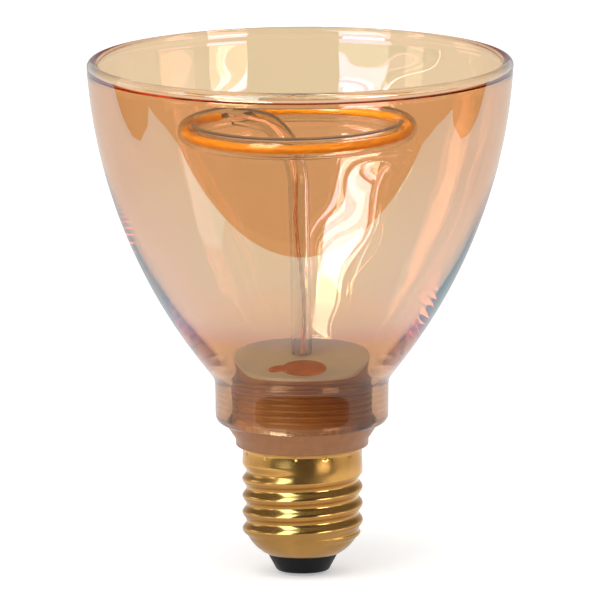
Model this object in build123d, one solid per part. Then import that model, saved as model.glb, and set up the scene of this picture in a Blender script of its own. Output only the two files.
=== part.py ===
from build123d import *
import os
from math import cos, radians, sin, tan

# Lamp with an open glass cup, a ring-shaped filament in a bent glass tube and a screw cap.
# Millimetres. +Z runs up the lamp axis, and the origin is the tip of the centre contact.

# Centre contact: a domed rivet
contact_drop = 0.6
contact_radius = 2.5
shank_radius = 1.4
shank_upset = 0.6
upset_height = 0.6

# Insulator: a black cone with a flange inside the shell
insulator_height = 3.9
insulator_tip_radius = 5.6
insulator_top_radius = 7.7
insulator_edge = 0.9
plug_radius = 7.2
flange_height = 1.0
hole_clearance = 0.05

# Screw shell: thin sheet with a rolled round thread and a crimped band
sheet = 0.45
dome_height = 4.5
dome_bulge = 0.35
dome_foot = 0.4
thread_root_radius = 12.2
thread_height = 0.9
thread_width = 2.9
thread_root_depth = 0.4
thread_pitch = 3.629
thread_turns = 3.7
thread_start_angle = 124.0
thread_length = 14.0
band_radius = 12.9
band_step = 0.7
band_height = 4.9
crimp_count = 12
crimp_first_angle = 262.5
crimp_radius = 0.7
crimp_depth = 0.25
crimp_drop = 0.9

# Housing: one moulding with a spigot, a flared skirt and a grooved drum
cap_clearance = 0.15
skirt_gap = 0.2
lip_radius = 14.4
lip_height = 1.6
lip_edge = 0.5
skirt_height = 4.9
ledge_radius = 16.6
drum_radius = 15.2
drum_height = 13.4
drum_edge = 0.4
drum_wall = 1.8
disc_thickness = 2.4
spigot_wall = 1.2
spigot_depth = 14.0
groove_count = 8
groove_radius = 0.4
groove_pitch = 1.35
groove_start = 2.7
seam_angle = 207.0
seam_width = 0.4
seam_proud = 0.25
seam_height = 6.0

# Glass cup: neck, bowl and a fire-polished rim
neck_radius = 18.76
neck_bore_radius = 16.3
neck_height = 9.9
neck_edge = 2.0
shoulder_fillet = 1.0
throat_height = 12.6
throat_fillet = 2.5
bowl_height = 68.35
bowl_middle_radius = 38.8
rim_radius = 46.1
wall_middle = 1.2
wall_rim = 1.3
rim_bead = 1.25
bead_fillet = 1.0

# Bonding ring between the neck and the drum
bond_height = 1.8
bond_clearance = 0.05

# Filament tube: stem, bend, arm and ring in one piece of bent glass
stem_radius = 2.3
ring_tube_radius = 2.5
tube_wall = 0.65
ring_radius = 23.4
ring_height = 51.7
bend_radius = 13.5
arm_angle = 124.0
stem_lean = 0.7
stem_nod = 1.9
stem_back = 1.5
flare_length = 7.5
flare_reach = 1.0
flare_width = 1.9
flare_rise = 0.2
socket_depth = 1.4
socket_clearance = 0.05

# Filament, its metal ends and its two wires
filament_radius = 0.95
filament_clearance = 0.1
filament_gap = 20.0
terminal_radius = 0.6
terminal_span = 4.0
wire_radius = 0.2
wire_spacing = 0.6
wire_meeting = 15.0
wire_spread = 1.0
wire_turn = 22.3
wire_sway = 0.9
bend_share = 0.45
sway_left_height = 31.1
sway_right_height = 10.1
wire_hole_radius = 1.2

# Brown sealing glue on the disc
glue_radius = 4.9
glue_x = 0.5
glue_y = -8.8
glue_tail_x = -5.6
glue_tail_y = -9.6
glue_tail_radius = 1.6
glue_thickness = 0.5
glue_edge = 0.25

# Driver board in slots of the spigot, with its parts
board_thickness = 1.0
board_height = 26.0
board_lift = 1.0
slot_depth = 0.5
slot_clearance = 0.1
solder_gap = 0.02
rectifier_width = 4.7
rectifier_height = 4.0
rectifier_thickness = 1.6
rectifier_lead_count = 2
rectifier_lift = 5.5
chip_width = 4.9
chip_height = 3.9
chip_thickness = 1.5
chip_lead_count = 4
chip_lift = 15.0
lead_length = 1.0
lead_thickness = 0.25
lead_width = 0.4
body_chamfer = 0.25
capacitor_radius = 4.0
capacitor_height = 11.0
capacitor_edge = 0.6
capacitor_lift = 9.6
capacitor_leg_radius = 0.3
capacitor_leg_spacing = 3.5
capacitor_leg_length = 1.6
resistor_radius = 1.6
resistor_length = 7.0
resistor_edge = 0.5
resistor_lift = 5.2
resistor_leg_radius = 0.3
resistor_leg_reach = 1.5

# Supply wires in the cap
supply_radius = 0.45
supply_offset = 3.0
supply_joint = 3.0
supply_bend = 1.2
live_drop = 2.6
neutral_rise = 1.2
neutral_gap = 0.05

# Levels up the lamp axis, each from the pieces below it
insulator_z = contact_drop
dome_z = insulator_z + insulator_height
thread_z = dome_z + dome_height
band_z = thread_z + thread_length
shell_top_z = band_z + band_height
skirt_z = shell_top_z + skirt_gap
ledge_z = skirt_z + skirt_height
disc_z = ledge_z + drum_height
spigot_z = skirt_z - spigot_depth
cavity_z = disc_z - disc_thickness
neck_top_z = ledge_z + neck_height
throat_z = ledge_z + throat_height
rim_z = neck_top_z + bowl_height
middle_z = (neck_top_z + rim_z) / 2
flange_z = dome_z + sheet
shank_top_z = flange_z + flange_height
board_z = spigot_z + board_lift
board_top_z = board_z + board_height

# Fits worked out from the sizes above
shell_foot_radius = insulator_top_radius + dome_foot
flange_radius = shell_foot_radius - hole_clearance
shell_hole_radius = plug_radius + hole_clearance
shell_bore_radius = thread_root_radius - sheet
band_bore_radius = band_radius - sheet
spigot_radius = shell_bore_radius - cap_clearance
collar_radius = band_bore_radius - cap_clearance
spigot_bore_radius = spigot_radius - spigot_wall
board_half_width = spigot_bore_radius + slot_depth - slot_clearance
stem_bore_radius = stem_radius - tube_wall
ring_bore_radius = ring_tube_radius - tube_wall
filament_ring_radius = ring_radius + ring_bore_radius - filament_radius - filament_clearance
board_face = board_thickness / 2
tube_frame = Pos(0, stem_back, disc_z) * Rot(stem_nod, -stem_lean, 0)
arm_frame = tube_frame * Rot(0, 0, arm_angle)


def turned(profile):
    """Turn a flat radius-and-height profile round the lamp axis."""
    return revolve(Plane.XZ * profile, Axis.Z)


def outline(*edges):
    """Make a flat face from edges that close on each other."""
    return make_face(Curve() + list(edges))


def rounded(face, corner, radius):
    """Round the corner of a flat face that lies nearest to a point."""
    return fillet(face.vertices().sort_by_distance(corner)[0], radius)


def rod(radius, low, high):
    """A round bar on the lamp axis between two levels."""
    height = high - low
    return Pos(0, 0, low) * Cylinder(radius, height, align=(Align.CENTER, Align.CENTER, Align.MIN))


def wire(points, radii, radius):
    """A round wire along straight runs joined by tangent arcs."""
    path = FilletPolyline(*points, radius=radii)
    section = Plane(origin=path @ 0, z_dir=path % 0) * Circle(radius)
    return sweep(section, path)


def export(shape, name):
    """Write one node to its own file."""
    shape.label = name
    export_step(shape, f"parts/{name}.step")


def centre_contact():
    """Domed rivet through the insulator, spread out above its flange."""
    dome = TangentArc((0, 0), (contact_radius, contact_drop), tangent=(1, 0))
    sides = Polyline((contact_radius, contact_drop), (0, contact_drop), (0, 0))
    shank = rod(shank_radius, contact_drop, shank_top_z + upset_height)
    upset = rod(shank_radius + shank_upset, shank_top_z, shank_top_z + upset_height)
    return turned(outline(dome, sides)) + shank + upset


def insulator():
    """Black cone under the shell, held by its flange on the other side of the sheet."""
    shank_hole = shank_radius + hole_clearance
    section = make_face(
        Polyline(
            (shank_hole, insulator_z),
            (insulator_tip_radius, insulator_z),
            (insulator_top_radius, dome_z),
            (plug_radius, dome_z),
            (plug_radius, flange_z),
            (flange_radius, flange_z),
            (flange_radius, shank_top_z),
            (shank_hole, shank_top_z),
            close=True,
        )
    )
    return turned(rounded(section, (insulator_tip_radius, insulator_z), insulator_edge))


def shell_section():
    """Half section of the plain shell: dome, threaded wall and wider band."""
    foot = shell_foot_radius
    middle = ((foot + thread_root_radius) / 2 + dome_bulge, (dome_z + thread_z) / 2 - dome_bulge)
    inner_middle = (middle[0] - sheet, middle[1] + sheet)
    step_z = band_z + band_step
    outer = Polyline(
        (thread_root_radius, thread_z),
        (thread_root_radius, band_z),
        (band_radius, step_z),
        (band_radius, shell_top_z),
        (band_bore_radius, shell_top_z),
        (band_bore_radius, step_z),
        (shell_bore_radius, band_z),
        (shell_bore_radius, thread_z + sheet),
    )
    inner_dome = ThreePointArc((shell_bore_radius, thread_z + sheet), inner_middle, (foot, flange_z))
    hole = shell_hole_radius
    bottom = Polyline((foot, flange_z), (hole, flange_z), (hole, dome_z), (foot, dome_z))
    outer_dome = ThreePointArc((foot, dome_z), middle, (thread_root_radius, thread_z))
    return outline(outer, inner_dome, bottom, outer_dome)


def thread_ridge():
    """Round thread ridge carried along a helix, rooted inside the sheet."""
    rise = thread_pitch * thread_turns
    helix = Helix(pitch=thread_pitch, height=rise, radius=thread_root_radius)
    half = thread_width / 2
    root = thread_root_depth
    crest = ThreePointArc((0, -half), (thread_height, 0), (0, half))
    base = Polyline((0, half), (-root, half), (-root, -half), (0, -half))
    start = Plane(origin=helix @ 0, x_dir=(1, 0, 0), z_dir=helix % 0)
    ridge = sweep(start * outline(crest, base), helix, is_frenet=True)
    start_z = thread_z + (thread_length - rise) / 2
    return Pos(0, 0, start_z) * Rot(0, 0, thread_start_angle) * ridge


def screw_shell():
    """Threaded sheet shell with a ring of crimp dents below its top edge."""
    shell = turned(shell_section()) + thread_ridge()
    dent = Sphere(crimp_radius)
    dent_centre = band_radius + crimp_radius - crimp_depth
    for index in range(crimp_count):
        angle = crimp_first_angle + index * 360 / crimp_count
        shell -= Rot(0, 0, angle) * Pos(dent_centre, 0, shell_top_z - crimp_drop) * dent
    return shell


def housing_section():
    """Half section of the housing: spigot, collar, lip, flare, ledge, drum and hollow inside."""
    drum_bore = drum_radius - drum_wall
    collar_z = band_z + band_step + cap_clearance
    section = make_face(
        Polyline(
            (spigot_bore_radius, spigot_z),
            (spigot_radius, spigot_z),
            (spigot_radius, collar_z),
            (collar_radius, collar_z),
            (collar_radius, skirt_z),
            (lip_radius, skirt_z),
            (lip_radius, skirt_z + lip_height),
            (ledge_radius, ledge_z),
            (drum_radius, ledge_z),
            (drum_radius, disc_z),
            (0, disc_z),
            (0, cavity_z),
            (drum_bore, cavity_z),
            (drum_bore, ledge_z),
            (spigot_bore_radius, skirt_z),
            close=True,
        )
    )
    section = rounded(section, (lip_radius, skirt_z), lip_edge)
    return rounded(section, (drum_radius, disc_z), drum_edge)


def base_housing():
    """Moulded housing with glue grooves, a mould seam, the stem socket and the board slots."""
    housing = turned(housing_section())
    for index in range(groove_count):
        level = ledge_z + groove_start + index * groove_pitch
        housing -= Pos(0, 0, level) * Torus(drum_radius, groove_radius)
    seam_z = ledge_z + bond_height + seam_height / 2
    seam = Box(2 * seam_proud, seam_width, seam_height)
    housing += Rot(0, 0, seam_angle) * Pos(drum_radius, 0, seam_z) * seam
    socket = Cylinder(stem_radius + socket_clearance, 2 * socket_depth)
    wire_hole = Cylinder(wire_hole_radius, 4 * disc_thickness)
    slot_width = board_thickness + 2 * slot_clearance
    slot = Pos(0, 0, board_top_z / 2) * Box(2 * (spigot_bore_radius + slot_depth), slot_width, board_top_z)
    return housing - tube_frame * socket - tube_frame * wire_hole - slot


def cup_section():
    """Half section of the glass cup: neck, bowl arcs and rim bead."""
    outer = ThreePointArc((neck_radius, neck_top_z), (bowl_middle_radius, middle_z), (rim_radius, rim_z))
    inner_rim = rim_radius - wall_rim
    inner_middle = (bowl_middle_radius - wall_middle, middle_z)
    inner = ThreePointArc((inner_rim, rim_z), inner_middle, (neck_bore_radius, throat_z))
    neck = Polyline(
        (neck_bore_radius, throat_z),
        (neck_bore_radius, ledge_z),
        (neck_radius, ledge_z),
        (neck_radius, neck_top_z),
    )
    section = outline(outer, Line((rim_radius, rim_z), (inner_rim, rim_z)), inner, neck)
    section = rounded(section, (neck_radius, ledge_z), neck_edge)
    section = rounded(section, (neck_radius, neck_top_z), shoulder_fillet)
    section = rounded(section, (neck_bore_radius, throat_z), throat_fillet)
    inward = (outer % 1).rotate(Axis.Z, 90)
    bead_centre = outer @ 1 + inward * rim_bead
    section += Pos(*bead_centre) * Circle(rim_bead)
    return rounded(section, (inner_rim, rim_z - rim_bead), bead_fillet)


def glass_cup():
    """Blown cup with a thick shoulder, open at the neck and at the rim."""
    return turned(cup_section())


def neck_bond():
    """Ring of clear bond on the ledge between the neck and the drum."""
    top = ledge_z + bond_height
    outer = rod(neck_bore_radius - bond_clearance, ledge_z, top)
    return outer - rod(drum_radius + seam_proud + bond_clearance, ledge_z, top)


def tube_solid(stem, ring):
    """Stem, bend, arm, flare and ring as one solid of the given radii, with the arm along +X."""
    flare_start = ring_radius - flare_length
    path = FilletPolyline(
        (0, 0, -socket_depth), (0, 0, ring_height), (flare_start, 0, ring_height), radius=bend_radius
    )
    bar = sweep(Plane(origin=path @ 0, z_dir=path % 0) * Circle(stem), path)
    torus = Pos(0, 0, ring_height) * Torus(ring_radius, ring)
    return torus + arm_flare(stem) + bar


def arm_flare(stem):
    """Mouth of the arm, blown wider sideways where it opens into the ring."""
    mouth = ring_radius - flare_reach
    stations = (
        (ring_radius - flare_length, 0),
        (ring_radius - flare_length / 2, flare_width * flare_rise),
        (mouth, flare_width),
    )
    sections = []
    for along, widening in stations:
        plane = Plane(origin=(along, 0, ring_height), x_dir=(0, 1, 0), z_dir=(1, 0, 0))
        sections.append(plane * Ellipse(stem + widening, stem))
    return loft(sections)


def filament_tube():
    """Bent glass tube: a stem that turns into an arm and opens into a closed ring."""
    outside = tube_solid(stem_radius, ring_tube_radius)
    inside = tube_solid(stem_bore_radius, ring_bore_radius)
    return arm_frame * (outside - inside)


def ring_arc(radius, first_angle, span):
    """Part of a round bar bent to the filament's circle, in the ring's plane."""
    section = Plane.XZ * Pos(filament_ring_radius, ring_height) * Circle(radius)
    return arm_frame * Rot(0, 0, first_angle) * revolve(section, Axis.Z, span)


def led_filament():
    """Flexible filament round the ring, open where the arm joins."""
    return ring_arc(filament_radius, filament_gap / 2, 360 - filament_gap)


def filament_terminal(side):
    """Metal end of the filament on one side of the arm."""
    inner_angle = filament_gap / 2 - terminal_span
    first = inner_angle if side > 0 else -filament_gap / 2
    return ring_arc(terminal_radius, first, terminal_span)


def tube_point(along, across, height):
    """Point in the tube's own frame, along and across the arm's direction."""
    return (arm_frame * Pos(along, across, height)).position


def sway_point(sideways, across, height):
    """Point in the stem, moved to one side of its axis."""
    local = Vector(0, across, 0).rotate(Axis.Z, arm_angle) + Vector(sideways, 0, height)
    return (tube_frame * Pos(*local)).position


def lead_wire(side):
    """Wire from one filament end, along the arm and stem, to its own face of the board."""
    angle = radians(filament_gap / 2 - terminal_span)
    end_along = filament_ring_radius * cos(angle)
    end_across = side * filament_ring_radius * sin(angle)
    across = side * wire_spacing / 2
    face = -side * (board_face + wire_radius + solder_gap)
    in_arm = [
        tube_point(end_along, end_across, ring_height),
        tube_point(wire_turn, side * wire_spread, ring_height),
        tube_point(wire_meeting, across, ring_height),
    ]
    in_stem = [
        tube_point(0, across, ring_height),
        sway_point(-wire_sway, across, sway_left_height),
        sway_point(wire_sway, across, sway_right_height),
        sway_point(0, across, -disc_thickness),
    ]
    at_board = [
        Vector(0, face, board_top_z + supply_joint / 2),
        Vector(0, face, board_top_z - supply_joint),
    ]
    points = in_arm + in_stem + at_board
    return wire(points, bend_radii(points, {len(in_arm): bend_radius}), wire_radius)


def corner_turn(points, corner):
    """Angle in radians through which a route turns at one of its points."""
    before = points[corner] - points[corner - 1]
    after = points[corner + 1] - points[corner]
    return radians(before.get_angle(after))


def run_left(points, end, fixed):
    """Length of the run up to one point, less what fixed bends at its two ends take."""
    length = (points[end] - points[end - 1]).length
    for corner in (end - 1, end):
        if corner in fixed:
            length -= fixed[corner] * tan(corner_turn(points, corner) / 2)
    return length


def bend_radii(points, fixed):
    """Bend at each corner of a route: the fixed one, or an easy one for the shorter run beside it."""
    radii = []
    for corner in range(1, len(points) - 1):
        run = min(run_left(points, corner, fixed), run_left(points, corner + 1, fixed))
        easy = bend_share * run / tan(corner_turn(points, corner) / 2)
        radii.append(fixed.get(corner, easy))
    return radii


def sealing_glue():
    """Brown glue on the disc in front of the stem: a round pool with a tail."""
    pool = Pos(glue_x, glue_y) * Circle(glue_radius)
    tail_end = Pos(glue_tail_x, glue_tail_y) * Circle(glue_tail_radius)
    tail_root = Pos(glue_x, glue_tail_y) * Circle(glue_tail_radius)
    tail = make_hull(tail_end.edges() + tail_root.edges())
    patch = extrude(pool + tail, glue_thickness)
    patch = fillet(patch.faces().sort_by(Axis.Z)[-1].edges(), glue_edge)
    return Pos(0, 0, disc_z) * patch


def driver_board():
    """Flat board upright in the spigot's slots."""
    middle = board_z + board_height / 2
    return Pos(0, 0, middle) * Box(2 * board_half_width, board_thickness, board_height)


def flat_package(width, height, thickness, leads):
    """Surface package with leads on both sides, its back at y = 0."""
    body = Pos(0, thickness / 2, 0) * Box(width, thickness, height)
    body = chamfer(body.faces().sort_by(Axis.Y)[-1].edges(), body_chamfer)
    pitch = height / leads
    for side in (-1, 1):
        for index in range(leads):
            level = (index - (leads - 1) / 2) * pitch
            x = side * (width + lead_length) / 2
            body += Pos(x, lead_thickness / 2, level) * Box(lead_length, lead_thickness, lead_width)
    return body


def bridge_rectifier():
    """Four-lead rectifier on the rear face of the board."""
    package = flat_package(rectifier_width, rectifier_height, rectifier_thickness, rectifier_lead_count)
    return Pos(0, board_face, board_z + rectifier_lift) * package


def driver_chip():
    """Eight-lead driver on the rear face of the board."""
    package = flat_package(chip_width, chip_height, chip_thickness, chip_lead_count)
    return Pos(0, board_face, board_z + chip_lift) * package


def smoothing_capacitor():
    """Can that lies against the front face, with two legs bent to the board."""
    can = rod(capacitor_radius, 0, capacitor_height)
    can = fillet(can.edges().filter_by(GeomType.CIRCLE), capacitor_edge)
    for side in (-1, 1):
        x = side * capacitor_leg_spacing / 2
        knee = -capacitor_leg_length
        points = [(x, 0, capacitor_edge), (x, 0, knee), (x, capacitor_radius, knee)]
        can += wire(points, capacitor_leg_length / 2, capacitor_leg_radius)
    return Pos(0, -board_face - capacitor_radius, board_z + capacitor_lift) * can


def fuse_resistor():
    """Round resistor across the front face, with its legs bent back to the board."""
    body = Rot(0, 90, 0) * Cylinder(resistor_radius, resistor_length)
    body = fillet(body.edges().filter_by(GeomType.CIRCLE), resistor_edge)
    for side in (-1, 1):
        root = side * (resistor_length / 2 - resistor_edge)
        knee = side * (resistor_length / 2 + resistor_leg_reach)
        points = [(root, 0, 0), (knee, 0, 0), (knee, resistor_radius, 0)]
        body += wire(points, resistor_leg_reach / 2, resistor_leg_radius)
    return Pos(0, -board_face - resistor_radius, board_z + resistor_lift) * body


def live_wire():
    """Wire from the front face of the board to the rivet's spread end."""
    face = -board_face - supply_radius - solder_gap
    rivet = shank_top_z + upset_height
    points = [
        (-supply_offset, face, board_z + supply_joint),
        (-supply_offset, face, board_z - supply_bend),
        (0, 0, rivet + live_drop),
        (0, 0, rivet),
    ]
    return wire(points, supply_bend, supply_radius)


def neutral_wire():
    """Wire from the rear face of the board, under the spigot, to the shell's wall."""
    face = board_face + supply_radius + solder_gap
    level = thread_z + sheet + neutral_rise
    end = (shell_bore_radius**2 - (face + supply_radius) ** 2) ** 0.5 - neutral_gap
    points = [
        (supply_offset, face, board_z + supply_joint),
        (supply_offset, face, level),
        (end, face, level),
    ]
    return wire(points, supply_bend, supply_radius)


os.makedirs("parts", exist_ok=True)
export(centre_contact(), "centre_contact")
export(insulator(), "insulator")
export(screw_shell(), "screw_shell")
export(base_housing(), "base_housing")
export(glass_cup(), "glass_cup")
export(neck_bond(), "neck_bond")
export(filament_tube(), "filament_tube")
export(led_filament(), "led_filament")
export(sealing_glue(), "sealing_glue")
export(driver_board(), "driver_board")
export(bridge_rectifier(), "bridge_rectifier")
export(driver_chip(), "driver_chip")
export(smoothing_capacitor(), "smoothing_capacitor")
export(fuse_resistor(), "fuse_resistor")
export(live_wire(), "live_wire")
export(neutral_wire(), "neutral_wire")
for side, name in ((1, "left"), (-1, "right")):
    export(filament_terminal(side), f"filament_terminal_{name}")
    export(lead_wire(side), f"lead_wire_{name}")
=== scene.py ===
"""Looks of an open-cup filament lamp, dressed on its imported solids.

Metres. +Z runs up the lamp's axis, and the origin is the tip of the centre contact.
The camera looks along +Y.
"""

import logging
import math
from dataclasses import dataclass
from enum import Enum

import bmesh
import bpy
import numpy as np
from mathutils import Color
from mathutils import Matrix
from mathutils import Vector


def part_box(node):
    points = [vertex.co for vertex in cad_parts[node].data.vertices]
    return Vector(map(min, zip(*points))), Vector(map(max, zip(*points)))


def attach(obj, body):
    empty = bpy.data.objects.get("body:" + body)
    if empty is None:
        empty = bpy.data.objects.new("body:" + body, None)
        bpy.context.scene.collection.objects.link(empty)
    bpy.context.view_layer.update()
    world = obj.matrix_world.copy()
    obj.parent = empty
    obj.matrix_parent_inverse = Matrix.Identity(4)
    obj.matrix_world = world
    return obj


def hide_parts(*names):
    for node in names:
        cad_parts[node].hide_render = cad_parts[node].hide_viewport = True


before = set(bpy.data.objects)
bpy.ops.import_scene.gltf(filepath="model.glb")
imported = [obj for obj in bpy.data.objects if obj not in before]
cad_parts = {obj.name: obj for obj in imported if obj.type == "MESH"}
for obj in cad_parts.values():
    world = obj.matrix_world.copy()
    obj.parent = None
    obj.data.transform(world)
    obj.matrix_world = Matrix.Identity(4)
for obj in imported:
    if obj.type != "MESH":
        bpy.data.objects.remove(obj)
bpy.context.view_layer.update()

BODY = "root"
MM = 0.001
TURN = 2 * math.pi
HALF = TURN / 2
QUARTER = TURN / 4
MATRIX_SIZE = 4
MERGE = 1e-7

Colour = tuple[float, float, float]
Point = tuple[float, float]
Corner = tuple[float, float, float]
Span = tuple[float, float]
Socket = bpy.types.NodeSocket
Value = float | Colour | Socket

DISPLAY_WHITE = 255
BLACK: Colour = (0, 0, 0)
WHITE: Colour = (1, 1, 1)
UNIT: Span = (0, 1)

# Marks on faces that a finish reads: the crown carries a painted sheen, the groove painted shade, and the
# lustre the cup's coat
PAINTED_SHEEN_CROWN = "crown"
PAINTED_SHADE_GROOVE = "groove"
LUSTRE = "lustre"

# Noise lies mostly in this span, with more fine layers in a cloud than in a grain or in glass
CLOUD: Span = (0.35, 0.65)
CLOUD_DETAIL = 3.0
GRAIN_DETAIL = 2.0
GLASS_DETAIL = 1.0

# Sockets that share their name with another one of the node, so they go by number
FIRST_COLOUR = 6
SECOND_COLOUR = 7
MIXED_COLOUR = 2
FIRST_SHADER = 1
SECOND_SHADER = 2

# Count of mirrors that a ray has met, from its first to its second
SECOND_MIRROR: Span = (1, 2)
# Corners of a sheet, in halves of its width and height
SHEET_CORNERS: tuple[Point, ...] = ((-1, -1), (1, -1), (1, 1), (-1, 1))

log = logging.getLogger("lamp")


class Edge(Enum):
    """How a piece's faces are shaded where they meet."""

    SMOOTH = math.radians(180)
    CREASED = math.radians(35)


class Join(Enum):
    """What is done with one closed shape that overlaps another."""

    ADD = "UNION"
    CUT = "DIFFERENCE"


def colour(red: int, green: int, blue: int) -> Colour:
    """Turn a display colour of 0 to 255 into the linear values that shaders take."""
    shown = Color((red / DISPLAY_WHITE, green / DISPLAY_WHITE, blue / DISPLAY_WHITE))
    return tuple(shown.from_srgb_to_scene_linear())


def smoothstep(value: np.ndarray) -> np.ndarray:
    """Rise from 0 to 1 with level ends, as 3v squared less 2v cubed, held outside that range."""
    held = np.clip(value, 0, 1)
    return held * held * (3 - 2 * held)


def soft_max(first: np.ndarray | float, second: np.ndarray, blend: float) -> np.ndarray:
    """Larger value with a rounded corner: half of the sum and of the root of gap and blend squared."""
    return (first + second + np.sqrt((first - second) ** 2 + blend**2)) / 2


def soft_min(first: np.ndarray | float, second: np.ndarray, blend: float) -> np.ndarray:
    """Smaller value with a rounded corner, the mirror of soft_max."""
    return -soft_max(-first, -second, blend)


def turn_angles(count: int) -> np.ndarray:
    """Even steps round a full turn, without the last one that would repeat the first."""
    return np.arange(count) * TURN / count


def wrapped(angle: np.ndarray) -> np.ndarray:
    """Bring angles to within half a turn of zero."""
    return np.angle(np.exp(1j * angle))


def turned(angle: float, axis: str) -> Matrix:
    """Turn about one of the three axes."""
    return Matrix.Rotation(angle, MATRIX_SIZE, axis)


def arc(centre: Point, radius: float, start: float, stop: float, steps: int) -> np.ndarray:
    """Points on a circle in the radius-height plane: its centre plus radius times cosine and sine."""
    angle = np.linspace(start, stop, steps)
    return np.stack([centre[0] + radius * np.cos(angle), centre[1] + radius * np.sin(angle)], axis=-1)


@dataclass
class Surface:
    """Points and four-sided faces of one shape, worked out before Blender has it."""

    points: np.ndarray
    quads: np.ndarray

    @classmethod
    def from_grid(cls, grid: np.ndarray, closed_rows: bool) -> "Surface":
        """Join a grid of points into faces; its columns always close on themselves.

        Args:
            grid: points, as rows by columns by three.
            closed_rows: whether the last row joins the first.

        Returns:
            The surface.
        """
        rows, columns = grid.shape[:2]
        index = np.arange(rows * columns).reshape(rows, columns)
        index = np.concatenate([index, index[:, :1]], axis=1)
        if closed_rows:
            index = np.concatenate([index, index[:1]], axis=0)
        corners = (index[:-1, :-1], index[:-1, 1:], index[1:, 1:], index[1:, :-1])
        return cls(grid.reshape(-1, 3), np.stack(corners, axis=-1).reshape(-1, 4))

    def moved(self, matrix: Matrix) -> "Surface":
        """Put the surface through a turn and a shift."""
        table = np.array(matrix)
        return Surface(self.points @ table[:3, :3].T + table[:3, 3], self.quads)

    def mesh(self, name: str) -> bpy.types.Mesh:
        """Make a mesh with its poles merged and its faces pointing out.

        Args:
            name: the mesh's name.

        Returns:
            The mesh.
        """
        mesh = bpy.data.meshes.new(name)
        mesh.from_pydata(self.points.tolist(), [], self.quads.tolist())
        shape = bmesh.new()
        shape.from_mesh(mesh)
        bmesh.ops.remove_doubles(shape, verts=shape.verts, dist=MERGE)
        bmesh.ops.recalc_face_normals(shape, faces=shape.faces)
        shape.to_mesh(mesh)
        shape.free()
        return mesh


def lathe(radius: np.ndarray, height: np.ndarray, angles: np.ndarray, closed: bool) -> Surface:
    """Turn an outline round the lamp's axis: x is r cos a, y is r sin a, and z is the height.

    Args:
        radius: radius of each point, as a column or with a value for each angle.
        height: height of each point, in the same way.
        angles: angles of the turn.
        closed: whether the outline's last point joins its first.

    Returns:
        The turned surface.
    """
    sides = np.broadcast_arrays(radius * np.cos(angles), radius * np.sin(angles), height)
    return Surface.from_grid(np.stack(sides, axis=-1), closed)


@dataclass(frozen=True)
class Arch:
    """A wall's radius along its height, as part of one large circle through three points."""

    low: Point
    middle: Point
    high: Point

    def circle(self) -> tuple[float, float, float]:
        """Find the circle from two equations of equal distance.

        Returns:
            Radius and height of its centre, and its own radius.
        """
        points = np.array([self.low, self.middle, self.high])
        squares = (points**2).sum(axis=1)
        centre = np.linalg.solve(2 * (points[1:] - points[0]), squares[1:] - squares[0])
        return float(centre[0]), float(centre[1]), float(np.hypot(*(points[0] - centre)))

    def radius(self, height: np.ndarray) -> np.ndarray:
        """Radius of the wall at given heights: the circle's outward side."""
        across, level, reach = self.circle()
        return across + np.sqrt(np.maximum(reach**2 - (height - level) ** 2, 0))


class Graph:
    """Nodes of a material or a surround, with short ways to add and join them."""

    def __init__(self, owner: bpy.types.Material | bpy.types.World) -> None:
        """Start the owner's nodes afresh.

        Args:
            owner: the material or surround that the nodes belong to.
        """
        owner.use_nodes = True
        self.owner = owner
        self.tree = owner.node_tree
        self.tree.nodes.clear()

    def put(self, target: Socket, value: Value) -> None:
        """Give an input a plain value, or join it to another node's output.

        Args:
            target: the input.
            value: a number, three values or an output.
        """
        if isinstance(value, Socket):
            self.tree.links.new(value, target)
        elif target.type == "RGBA":
            target.default_value = (*value, 1)
        else:
            target.default_value = value

    def fill(self, node: bpy.types.Node, **values: Value) -> None:
        """Fill a node's inputs by name, with underscores for spaces."""
        for name, value in values.items():
            self.put(node.inputs[name.replace("_", " ")], value)

    def node(self, kind: str, **values: Value) -> bpy.types.Node:
        """Add a node and fill its inputs.

        Args:
            kind: Blender's name for the node.
            values: what its inputs get, with underscores for spaces.

        Returns:
            The node.
        """
        made = self.tree.nodes.new(kind)
        self.fill(made, **values)
        return made

    def path(self) -> bpy.types.bpy_prop_collection:
        """Facts about the way that a ray has come."""
        return self.node("ShaderNodeLightPath").outputs

    def ramp(self, value: Socket, span: Span, low: Value, high: Value, level: bool = False) -> Socket:
        """Spread a span of values over a range, held at both ends.

        Args:
            value: what is read.
            span: values where the change starts and ends.
            low: result at the start.
            high: result at the end.
            level: whether the change starts and ends gently.

        Returns:
            The result.
        """
        made = self.node("ShaderNodeMapRange", Value=value, To_Min=low, To_Max=high)
        self.fill(made, From_Min=span[0], From_Max=span[1])
        if level:
            made.interpolation_type = "SMOOTHSTEP"
        return made.outputs["Result"]

    def total(self, first: Socket, second: Socket) -> Socket:
        """Add two values and hold the sum between 0 and 1.

        Args:
            first: one value.
            second: the other value.

        Returns:
            The sum.
        """
        made = self.node("ShaderNodeMath")
        made.use_clamp = True
        self.put(made.inputs[0], first)
        self.put(made.inputs[1], second)
        return made.outputs["Value"]


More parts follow.
